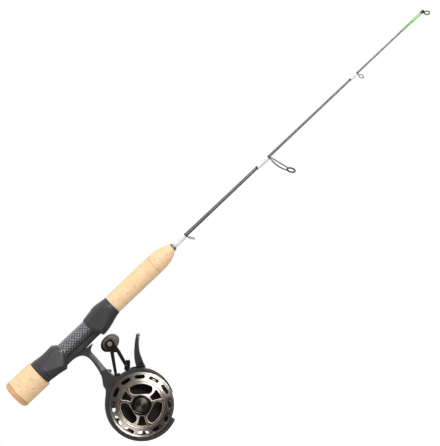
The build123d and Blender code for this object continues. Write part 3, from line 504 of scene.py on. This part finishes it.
def resampled(outline, gap):
    """The outline of (x, radius) points with more points on each run, none further apart than gap."""
    fine = []
    for (xa, ra), (xb, rb) in zip(outline, outline[1:]):
        count = max(1, math.ceil(math.hypot(xb - xa, rb - ra) / gap))
        shares = [k / count for k in range(count)]
        fine += [(xa + (xb - xa) * share, ra + (rb - ra) * share) for share in shares]
    return np.array(fine + [outline[-1]])


def turned_cork(node, outline, pits, seed, around):
    """Turned cork: the outline spun about the rod's axis, with real pits and glued ring joints cut into it.

    An outline that starts on the axis makes a solid end, and any other is closed on itself round a bore.
    """
    lots = np.random.RandomState(seed)
    fine = resampled(outline, 0.34)
    steps = len(fine)
    closed = outline[0][1] > 0
    ahead = np.roll(fine, -1, axis=0) if closed else np.vstack([fine[1:], fine[-1:]])
    behind = np.roll(fine, 1, axis=0) if closed else np.vstack([fine[:1], fine[:-1]])
    run = ahead - behind
    run /= np.maximum(np.linalg.norm(run, axis=1), 1e-9)[:, None]
    travelled = np.concatenate([[0], np.cumsum(np.linalg.norm(np.diff(fine, axis=0), axis=1))])
    angle = np.linspace(0.0, 2 * math.pi, around, endpoint=False)
    cut = np.zeros((steps, around))
    for _ in range(pits):
        where, turn = lots.uniform(0, travelled[-1]), lots.uniform(0, 2 * math.pi)
        long, wide = lots.uniform(0.3, 1.3), lots.uniform(0.24, 0.42)
        if lots.rand() < 0.35:
            long, wide = wide, long
        rows = np.abs(travelled - where) < long
        gap = (angle - turn + math.pi) % (2 * math.pi) - math.pi
        lengthwise = ((travelled[rows] - where) / long)[:, None]
        sideways = fine[rows, 1][:, None] * gap / wide
        dent = np.clip(1 - lengthwise ** 2 - sideways ** 2, 0, 1) ** 0.6 * lots.uniform(0.12, 0.4)
        cut[rows] = np.maximum(cut[rows], dent)
    rings = (fine[:, 0] - RING_START) / RING_LEN
    off_seam = np.abs(rings - np.round(rings)) * RING_LEN
    level = np.abs(run[:, 0])
    groove = np.clip(1 - off_seam / 0.3, 0, 1) * 0.06 * (level > 0.9)
    cut = np.maximum(cut, groove[:, None])
    to_end = np.minimum(np.abs(fine[:, 0] - fine[0, 0]), np.abs(fine[:, 0] - fine[-1, 0]))
    cut[(to_end < 0.01) & (level > 0.3)] = 0.25
    grid_x = fine[:, :1] + run[:, 1:] * cut
    grid_r = np.maximum(fine[:, 1:] - np.abs(run[:, :1]) * cut, 0.0)
    grid = np.stack([grid_x * MM, grid_r * np.sin(angle) * MM, grid_r * np.cos(angle) * MM], axis=-1)
    faces = []
    for i in range(steps if closed else steps - 1):
        a, b = i * around, (i + 1) % steps * around
        faces += [(a + j, b + j, b + (j + 1) % around, a + (j + 1) % around) for j in range(around)]
    work = bmesh.new()
    for point in grid.reshape(-1, 3):
        work.verts.new(point)
    work.verts.ensure_lookup_table()
    mark = work.verts.layers.float.new("pit")
    for vertex, depth in zip(work.verts, cut.ravel()):
        vertex[mark] = depth
    for face in faces:
        work.faces.new([work.verts[k] for k in face])
    bmesh.ops.remove_doubles(work, verts=work.verts, dist=1e-6)
    bmesh.ops.recalc_face_normals(work, faces=work.faces)
    mesh = bpy.data.meshes.new(node + "_skin")
    work.to_mesh(mesh)
    work.free()
    mesh.shade_smooth()
    mesh.set_sharp_from_angle(angle=math.radians(65))
    return place(node + "_skin", mesh, node, [looks[slot_of[node]]])


def bowed(node, legs):
    """The wire frame with each leg, from foot to seat, bent back by bow and made stouter by swell."""
    work = bmesh.new()
    work.from_mesh(frame["nodes"][node].data)
    bmesh.ops.remove_doubles(work, verts=work.verts, dist=WELD)
    for foot, seat, bow, swell in legs:
        foot, seat = Vector(foot) * MM, Vector(seat) * MM
        run = seat - foot
        for k in range(1, LEG_CUTS):
            whole = work.verts[:] + work.edges[:] + work.faces[:]
            bmesh.ops.bisect_plane(work, geom=whole, plane_co=foot + run * (k / LEG_CUTS),
                                   plane_no=run.normalized(), dist=1e-7)
        for vertex in work.verts:
            share = (vertex.co - foot).dot(run) / run.length_squared
            aside = vertex.co - foot - run * share
            if 0.0 < share < 1.0 and aside.length < LEG_REACH * MM:
                lift = 4.0 * share * (1.0 - share)
                vertex.co += aside * swell * min(1.0, 2.0 * lift) + Vector((-bow * lift * MM, 0.0, 0.0))
    mesh = bpy.data.meshes.new(node + "_skin")
    work.to_mesh(mesh)
    work.free()
    if "custom_normal" in mesh.attributes:
        mesh.attributes.remove(mesh.attributes["custom_normal"])
    mesh.shade_smooth()
    mesh.set_sharp_from_angle(angle=math.radians(50))
    return place(node + "_skin", mesh, node, [looks[slot_of[node]]])


def arc(x, r, radius, a0, a1, count=10):
    """Points on an arc about (x, r), for a turned outline."""
    turns = [math.radians(a0 + (a1 - a0) * k / count) for k in range(count + 1)]
    return [(x + radius * math.cos(a), r + radius * math.sin(a)) for a in turns]


butt_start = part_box("butt_ring")[0].x / MM
grip_start, grip_end = (corner.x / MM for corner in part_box("rear_grip"))
grip_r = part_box("rear_grip")[1].z / MM
fore_start, fore_end = (corner.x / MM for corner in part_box("foregrip_cork"))
fore_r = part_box("foregrip_cork")[1].z / MM
nose_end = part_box("foregrip_nose")[1].x / MM
butt_round = arc(butt_start + BUTT_ROUND, grip_r - BUTT_ROUND, BUTT_ROUND, 180, 90)
butt = [(butt_start, 0.0), *butt_round, (grip_start, grip_r), (grip_start, 0.0)]
grip = [(grip_start, 0.0), (grip_start, grip_r), (grip_end - GRIP_BREAK, grip_r),
        (grip_end, grip_r - GRIP_BREAK), (grip_end, 0.0)]
fore = [(fore_start, CORK_BORE), (fore_start, fore_r - FORE_BREAK), (fore_start + FORE_BREAK, fore_r),
        (fore_end, fore_r), (fore_end, CORK_BORE)]
nose = [(fore_end, NOSE_BORE), (fore_end, fore_r)]
for k in range(1, NOSE_STEPS + 1):
    share = k / NOSE_STEPS
    nose.append((fore_end + (nose_end - fore_end) * share,
                 fore_r - (fore_r - NOSE_TIP) * share ** NOSE_CURVE))
nose.append((nose_end, NOSE_BORE))
turned_cork("butt_ring", butt, pits=46, seed=11, around=260)
turned_cork("rear_grip", grip, pits=120, seed=5, around=280)
turned_cork("foregrip_cork", fore, pits=90, seed=7, around=220)
turned_cork("foregrip_nose", nose, pits=34, seed=23, around=200)

# The width of the round on each piece's edges, in millimetres.
EDGE_ROUNDS = {
    "collar_ring": 0.25, "rear_hood": 0.6, "front_hood": 0.6, "reel_frame": 0.4, "side_cover": 0.7,
    "arm_bracket": 0.35, "guide_arm": 0.4, "line_keeper": 0.35, "trigger_bracket": 0.3, "spool_cap": 0.3,
    "guide_roller": 0.3, "handle_arm": 0.45, "drag_star": 0.5, "handle_knob_a": 0.5, "handle_knob_b": 0.5,
    "handle_nut": 0.3, "arm_screws": 0.2, "cover_screws": 0.25, "roller_axle": 0.2,
}
for node, width in EDGE_ROUNDS.items():
    crisp(node, width)
crisp("hub_ring", 0.35, look=hub_black)
bowed("large_guide_frame", GUIDE_LEGS)
crisp("trigger", 0.4, look=ticked("trigger_coat", (0.024, 0.023, 0.022), (0.50, 0.48, 0.45)))
crisp("winding_check", 0.2, look=check_metal)
# The drum's inside takes the painted shade; the rounds take the machined lip.
crisp("spool", 0.7, edge=lip, paint=(drum_painted_shade, inside_drum))
crisp("spool_face", 0.38, edge=lip, paint=(lip, window_edge))

# ---------------------------------------------------------------- stage, light and camera
# The rod leans across the picture, so right and up here are the picture's own. back is towards the camera.
ROLL = math.radians(43.4)
CAMERA_AWAY = 2.5
LENS = 187.2
FLOOR_REACH = 8.0
FLOOR_Z = -0.36
right = Vector((math.cos(ROLL), 0, -math.sin(ROLL)))
up = Vector((math.sin(ROLL), 0, math.cos(ROLL)))
back = Vector((0, -1, 0))
aim = Vector((0.2711, 0.0, -0.0159))


def facing(origin, toward, upward):
    """The matrix that looks from origin towards a point."""
    z = (origin - toward).normalized()
    x = upward.cross(z).normalized()
    y = z.cross(x)
    turn = Matrix((x, y, z)).transposed().to_4x4()
    turn.translation = origin
    return turn


camera = bpy.data.objects.new("camera", bpy.data.cameras.new("camera"))
bpy.context.scene.collection.objects.link(camera)
camera.data.lens = LENS
camera.data.sensor_width = 36.0
camera.data.clip_start = 0.1
camera.data.clip_end = 30.0
camera.matrix_world = facing(aim + back * CAMERA_AWAY, aim, up)
bpy.context.scene.camera = camera


def softbox(name, offset, width, height, power, diffuse=True, glossy=True):
    """A soft rectangular light, placed by (right, up, towards the camera) and aimed at the object.

    The height of one that gives highlights only points outward from the middle of the picture.
    """
    lamp = bpy.data.objects.new(name, bpy.data.lights.new(name, "AREA"))
    lamp.data.shape = "RECTANGLE"
    lamp.data.size = width
    lamp.data.size_y = height
    lamp.data.energy = power
    lamp.visible_diffuse = diffuse
    lamp.visible_glossy = glossy
    outward = right * offset[0] + up * offset[1]
    spot = aim + outward + back * offset[2]
    lamp.matrix_world = facing(spot, aim, up if diffuse else outward.normalized())
    bpy.context.scene.collection.objects.link(lamp)


softbox("key", (0.5, 1.35, 1.15), 1.5, 0.6, 22)
softbox("sweep", (0.60, 0.83, 2.2), 1.25, 0.35, 60, diffuse=False)
softbox("fill", (-1.3, 0.9, 1.0), 0.7, 1.2, 9, glossy=False)
softbox("low", (-0.9, -1.4, 0.9), 1.0, 0.3, 14, glossy=False)
softbox("behind", (0.3, 1.0, -1.5), 1.6, 1.0, 6)

world = bpy.data.worlds.new("studio")
bpy.context.scene.world = world
world.use_nodes = True
tree = world.node_tree
tree.nodes.clear()


def sky(low, high, start=-1.0):
    """White light that grows from low to high towards the bright side of the room, above and behind."""
    aimed = tree.nodes.new("ShaderNodeTexCoord")
    lean = tree.nodes.new("ShaderNodeVectorMath")
    lean.operation = "DOT_PRODUCT"
    lean.inputs[1].default_value = (0.35, 0.6, 0.72)
    fade = tree.nodes.new("ShaderNodeMapRange")
    tree.links.new(aimed.outputs["Generated"], lean.inputs[0])
    tree.links.new(lean.outputs["Value"], fade.inputs[0])
    for index, value in enumerate((start, 1.0, low, high), start=1):
        fade.inputs[index].default_value = value
    light = tree.nodes.new("ShaderNodeBackground")
    tree.links.new(fade.outputs[0], light.inputs[1])
    light.inputs[0].default_value = (1.0, 1.0, 1.0, 1.0)
    return light.outputs[0]


def either(test, no, yes):
    """One shader for the rays that pass the test, and another for the rest."""
    mixer = tree.nodes.new("ShaderNodeMixShader")
    for socket, source in zip(mixer.inputs, (test, no, yes)):
        tree.links.new(source, socket)
    return mixer.outputs[0]


# The camera sees plain white. Only the light on the object and its mirror images are graded.
rays = tree.nodes.new("ShaderNodeLightPath").outputs
lit = either(rays["Is Diffuse Ray"], sky(0.05, 0.85, -0.25), sky(0.70, 0.80))
shown = either(rays["Is Camera Ray"], lit, sky(1.0, 1.0))
tree.links.new(shown, tree.nodes.new("ShaderNodeOutputWorld").inputs[0])
bpy.context.scene.view_settings.view_transform = "Standard"

floor_mesh = bpy.data.meshes.new("floor")
corners = [(x * FLOOR_REACH, y * FLOOR_REACH, FLOOR_Z) for x, y in ((-1, -1), (1, -1), (1, 1), (-1, 1))]
floor_mesh.from_pydata(corners, [], [(0, 1, 2, 3)])
floor = bpy.data.objects.new("floor", floor_mesh)
bpy.context.scene.collection.objects.link(floor)
pale = Look("pale_floor", Roughness=0.9, Specular_IOR_Level=0.1, Emission_Color=(1.0, 1.0, 1.0),
            Emission_Strength=0.75)
pale.base(pale.mix(pale.spread(pale.noise(1.5, 2), 0.3, 0.7), (0.80, 0.80, 0.80), (0.83, 0.83, 0.83)))
floor_mesh.materials.append(pale.material)
floor.visible_diffuse = False
floor.visible_glossy = False
